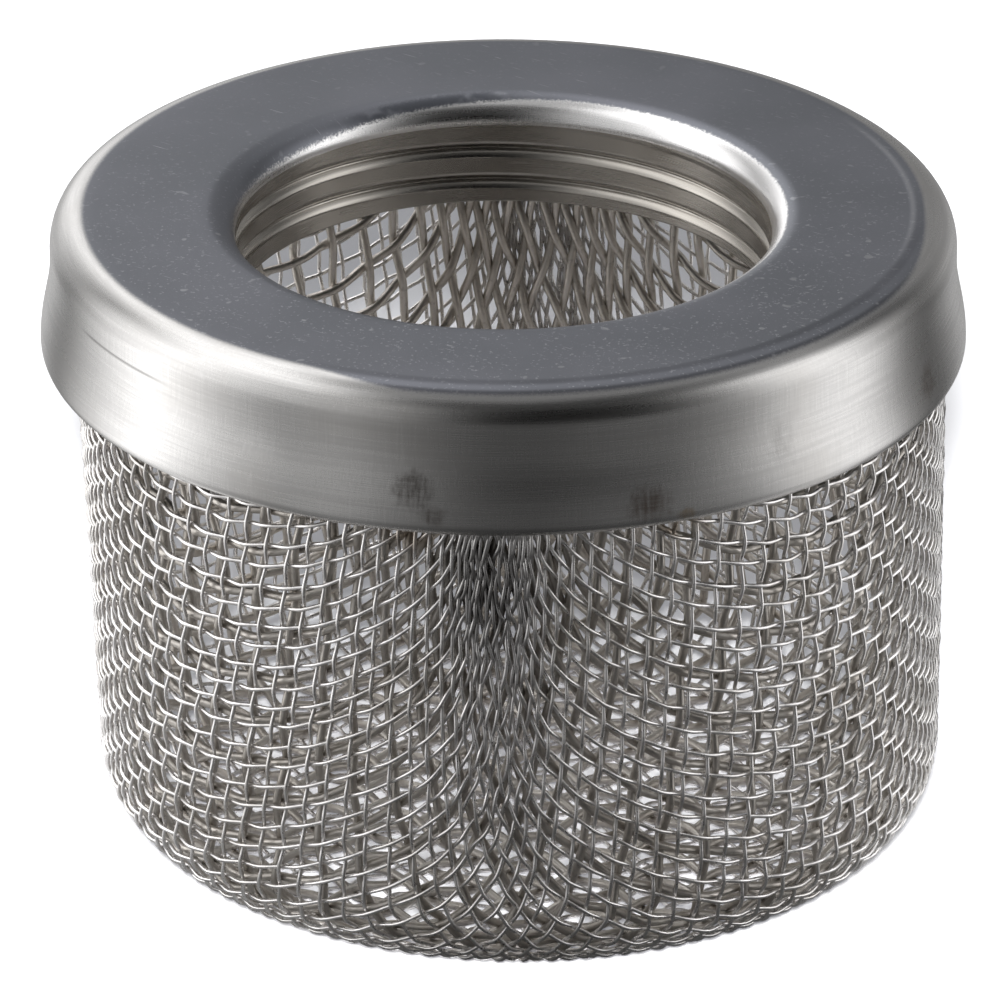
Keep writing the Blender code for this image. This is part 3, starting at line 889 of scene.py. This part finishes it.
class WireSweep:
    """A node tree that lifts guide lines over and under and sweeps a round wire along them."""

    name = "wire_sweep"
    inputs = (
        ("Geometry", "Geometry"), ("Wire Diameter", "Float"), ("Crimp Height", "Float"),
        ("Sides", "Int"), ("Material", "Material"),
    )

    def tree(self) -> bpy.types.NodeTree:
        """Build the tree once."""
        if self.name in bpy.data.node_groups:
            return bpy.data.node_groups[self.name]
        tree = bpy.data.node_groups.new(self.name, "GeometryNodeTree")
        for name, kind in self.inputs:
            tree.interface.new_socket(name, in_out="INPUT", socket_type=f"NodeSocket{kind}")
        tree.interface.new_socket("Geometry", in_out="OUTPUT", socket_type="NodeSocketGeometry")
        graph = Graph(tree)
        start = graph.node("NodeGroupInput").socket.node
        net, diameter, crimp, sides, material = (Value(graph, start.outputs[name]) for name, _ in self.inputs)
        kind = "GeometryNodeInputNamedAttribute"
        outward = graph.node(kind, {"data_type": "FLOAT_VECTOR"}, {"Name": "outward"}, "Attribute")
        lift = graph.node(kind, {"data_type": "FLOAT"}, {"Name": "lift"}, "Attribute")
        values = {0: outward, "Scale": lift * crimp}
        offset = graph.node("ShaderNodeVectorMath", {"operation": "SCALE"}, values)
        moved = graph.node("GeometryNodeSetPosition", None, {"Geometry": net, "Offset": offset})
        curve = graph.node("GeometryNodeMeshToCurve", None, {"Mesh": moved})
        values = {"Resolution": sides, "Radius": diameter / 2}
        section = graph.node("GeometryNodeCurvePrimitiveCircle", {"mode": "RADIUS"}, values)
        values = {"Curve": curve, "Profile Curve": section, "Fill Caps": True}
        swept = graph.node("GeometryNodeCurveToMesh", None, values)
        smooth = graph.node("GeometryNodeSetShadeSmooth", None, {"Geometry": swept})
        real = graph.node("GeometryNodeRealizeInstances", None, {"Geometry": smooth})
        dressed = graph.node("GeometryNodeSetMaterial", None, {"Geometry": real, "Material": material})
        return graph.finish(dressed, "NodeGroupOutput")

    def apply(self, guide: bpy.types.Object, name: str, sizes: dict) -> bpy.types.Object:
        """Sweep wires along a guide, which is removed, with the tree's inputs by name."""
        tree = self.tree()
        modifier = guide.modifiers.new("sweep", "NODES")
        modifier.node_group = tree
        for item in tree.interface.items_tree:
            if item.item_type == "SOCKET" and item.in_out == "INPUT" and item.name in sizes:
                modifier[item.identifier] = sizes[item.name]
        evaluated = guide.evaluated_get(bpy.context.evaluated_depsgraph_get())
        mesh = bpy.data.meshes.new_from_object(evaluated)
        mesh.name = name
        bpy.data.objects.remove(guide, do_unlink=True)
        for attribute in ("outward", "lift"):
            if attribute in mesh.attributes:
                mesh.attributes.remove(mesh.attributes[attribute])
        return add_object(name, mesh)


# ---- studio


@dataclass(frozen=True)
class Tent:
    """The tent that the steel mirrors, lit by direction, in degrees to the right of the front."""

    floor: Knots = (
        (-180, 0.34), (-160, 0.50), (-145, 0.78), (-127, 0.12), (-110, 0.92), (-88, 2.40),
        (-70, 0.95), (-52, 0.38), (-36, 0.47), (-21, 0.19), (-6, 0.09), (9, 0.08), (24, 0.13),
        (39, 0.14), (56, 0.34), (75, 1.32), (90, 1.58), (106, 0.20), (120, 0.03), (141, 0.60),
        (160, 0.34), (180, 0.34),
    )
    wall: Knots = (
        (-180, 0.30), (-160, 1.70), (-145, 0.90), (-127, 0.24), (-110, 1.40), (-88, 2.30),
        (-70, 1.12), (-52, 0.70), (-36, 0.60), (-21, 0.22), (-6, 0.00), (9, 0.00), (24, 0.00),
        (39, 0.01), (56, 0.25), (75, 1.60), (90, 1.80), (106, 0.44), (120, 0.05), (141, 0.42),
        (160, 0.28), (180, 0.30),
    )
    dome: Knots = (
        (-180, 0.90), (-157, 2.00), (-120, 2.20), (-60, 1.50), (-38, 0.30), (-22, 0.04), (45, 0.04),
        (75, 0.30), (110, 0.70), (180, 0.90),
    )
    skirting: Span = (math.radians(-4), math.radians(6))  # elevations between floor and wall
    turning: Span = (math.radians(36), math.radians(52))  # elevations between wall and dome
    crown: Span = (math.radians(62), math.radians(70))  # elevations between dome and crown
    crown_level: float = 0.42
    shade: Span = (40 * MM, 95 * MM)  # where the floor is darker, near the object
    shade_level: float = 0.55
    scale: float = 2.5
    reach: float = 0.8
    hem: float = 23 * MM  # where the tent's floor begins, from the axis, under the foot's corner
    lift: float = 0.4 * MM

    def sky(self, graph: Graph, azimuth: Value, stops: Knots) -> Value:
        """The light all round, between the stops' directions."""
        levels = [(place / 360 + 0.5, (light / self.scale,) * 3) for place, light in stops]
        share = azimuth / (2 * math.pi) + 0.5
        return graph.node("ShaderNodeValToRGB", {"stops": levels}, {"Fac": share}, "Color")

    def build(self, centre: Vector) -> None:
        """Stand the tent round a centre, with a floor of its own."""
        bm = bmesh.new()
        turns, rises = 64, 16
        rows = [(self.hem, self.lift), (self.reach, self.lift)]
        for rise in range(1, rises):
            angle = math.pi / 2 * rise / rises
            rows.append((self.reach * math.cos(angle), centre.z + self.reach * math.sin(angle)))
        rings = []
        for reach, height in rows:
            angles = (2 * math.pi * turn / turns for turn in range(turns))
            rings.append([bm.verts.new((reach * math.cos(a), reach * math.sin(a), height)) for a in angles])
        for low, high in zip(rings, rings[1:]):
            for turn in range(turns):
                after = (turn + 1) % turns
                bm.faces.new((low[turn], low[after], high[after], high[turn]))
        bm.faces.new(rings[-1])
        graph = Graph("tent")
        reach, azimuth, height = graph.polar(graph.position())
        rise = (height - centre.z).turn(reach)
        floor, wall, dome = (self.sky(graph, azimuth, stops) for stops in (self.floor, self.wall, self.dome))
        near = (1 - graph.band(reach, *self.shade)) * (1 - self.shade_level)
        floor = graph.blend(near, floor, (0.0, 0.0, 0.0))
        light = graph.blend(graph.band(rise, *self.skirting), floor, wall)
        light = graph.blend(graph.band(rise, *self.turning), light, dome)
        light = graph.blend(graph.band(rise, *self.crown), light, (self.crown_level / self.scale,) * 3)
        glow = graph.node("ShaderNodeEmission", None, {"Color": light, "Strength": self.scale})
        thing = plain_mesh("tent", bm, [graph.finish(glow)])
        thing.visible_camera = False
        thing.visible_diffuse = False
        thing.visible_shadow = False
        thing.visible_transmission = False


@dataclass
class Studio:
    """Floor, backdrop, lights and camera."""

    centre: Vector = field(default_factory=lambda: Vector((0.0, 0.0, 22.0 * MM)))
    target: Vector = field(default_factory=lambda: Vector((-0.216 * MM, 0.0, 22.876 * MM)))
    elevation: float = math.radians(25.139)
    distance: float = 1.0
    focal: float = 552.24
    lamp_distance: float = 2.5
    floor_size: float = 6.0
    floor_colour: Colour = (0.86, 0.86, 0.87)
    glow_colour: Colour = (0.88, 0.90, 1.0)
    floor_glow: float = 0.15  # share of the floor's look that no shadow takes away
    sky_light: float = 0.16  # strength of the light from all round

    def seen(self, graph: Graph) -> Value:
        """1 for the rays that show the backdrop: camera, glossy and transmission."""
        path = graph.node("ShaderNodeLightPath").socket.node
        rays = [Value(graph, path.outputs[f"Is {name} Ray"]) for name in ("Camera", "Glossy", "Transmission")]
        return rays[0].most(rays[1]).most(rays[2])

    def floor(self) -> None:
        """Lay the pale floor."""
        bm = bmesh.new()
        half = self.floor_size / 2
        corners = ((-half, -half), (half, -half), (half, half), (-half, half))
        bm.faces.new([bm.verts.new((*corner, 0.0)) for corner in corners])
        graph = Graph("studio_floor")
        matte = graph.node("ShaderNodeBsdfDiffuse", None, {"Color": (*self.floor_colour, 1.0)})
        glow = graph.node("ShaderNodeEmission", None, {"Color": (*self.glow_colour, 1.0), "Strength": 1.0})
        values = {0: self.seen(graph) * self.floor_glow, 1: matte, 2: glow}
        mix = graph.node("ShaderNodeMixShader", None, values)
        plain_mesh("studio_floor", bm, [graph.finish(mix)])

    def world(self) -> None:
        """Set the white backdrop and the soft light from all round."""
        world = bpy.data.worlds.new("studio_world")
        bpy.context.scene.world = world
        graph = Graph(world)
        values = {"Value": self.seen(graph), "To Min": self.sky_light, "To Max": 1.0}
        strength = graph.node("ShaderNodeMapRange", None, values, "Result")
        backdrop = graph.node("ShaderNodeBackground", None, {"Strength": strength})
        graph.finish(backdrop, "ShaderNodeOutputWorld")

    def lamp(self, name: str, azimuth: float, elevation: float, size: float, power: float) -> None:
        """Hang a soft square lamp that looks at the object, in degrees to the right of the front and up."""
        data = bpy.data.lights.new(name, "AREA")
        data.shape = "SQUARE"
        data.size = size
        data.energy = power
        turn, rise = math.radians(azimuth), math.radians(elevation)
        way = Vector((math.sin(turn) * math.cos(rise), -math.cos(turn) * math.cos(rise), math.sin(rise)))
        lamp = add_object(name, data)
        lamp.location = self.centre + way * self.lamp_distance
        lamp.rotation_euler = way.to_track_quat("Z", "Y").to_euler()
        lamp.visible_glossy = False

    def camera(self) -> None:
        """Stand the camera at the photograph's angle."""
        data = bpy.data.cameras.new("camera")
        data.lens = self.focal
        data.sensor_width = 36.0
        data.clip_start = 0.05
        data.clip_end = 20.0
        camera = add_object("camera", data)
        back = Vector((0.0, -math.cos(self.elevation), math.sin(self.elevation)))
        camera.location = self.target + back * self.distance
        camera.rotation_euler = (math.pi / 2 - self.elevation, 0.0, 0.0)
        bpy.context.scene.camera = camera

    def build(self) -> None:
        """Set up the whole studio."""
        bpy.context.scene.view_settings.view_transform = "Standard"
        self.floor()
        self.world()
        self.lamp("lamp_front", azimuth=-0.9, elevation=29, size=0.2, power=230.0)
        self.lamp("lamp_top", azimuth=0, elevation=80, size=1.6, power=9.0)
        Tent().build(self.centre)
        self.camera()


def main() -> None:
    """Build every piece, dress it and set up the studio."""
    logging.basicConfig(level=logging.INFO, format="%(name)s: %(message)s")
    cap = Cap().build([CapSteel().material(), ThreadSteel().material()])
    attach(cap, "root")
    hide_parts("cap")
    LOG.info("%s: %d faces", cap.name, len(cap.data.polygons))
    fine = WovenCup(
        "fine_mesh", Slot.FINE, "fine_mesh_cup", wire=0.28 * MM, pitch=1.49 * MM, depth=0.30 * MM,
        locked_slope=0.23, net_radius=26.4 * MM, steps=4, sides=5, waver=0.04, seed=5, mess=0.14 * MM,
    )
    steel = WireSteel("fine_wire", (0.93, 0.91, 0.90), (0.72, 0.69, 0.65), 0.29)
    fine.dress(steel.material())
    coarse = WovenCup(
        "coarse_mesh", Slot.COARSE, "coarse_mesh_cup", wire=0.57 * MM, pitch=3.05 * MM, depth=1.19 * MM,
        locked_slope=0.42, net_radius=25.4 * MM, steps=8, sides=8, waver=0.03, seed=8, mess=0.15 * MM,
        crowding=2.0,
    )
    steel = WireSteel("coarse_wire", (0.80, 0.76, 0.71), (0.56, 0.515, 0.46), 0.42, front_shade=0.35)
    coarse.dress(steel.material())
    Studio().build()


if __name__ == "__main__":
    main()
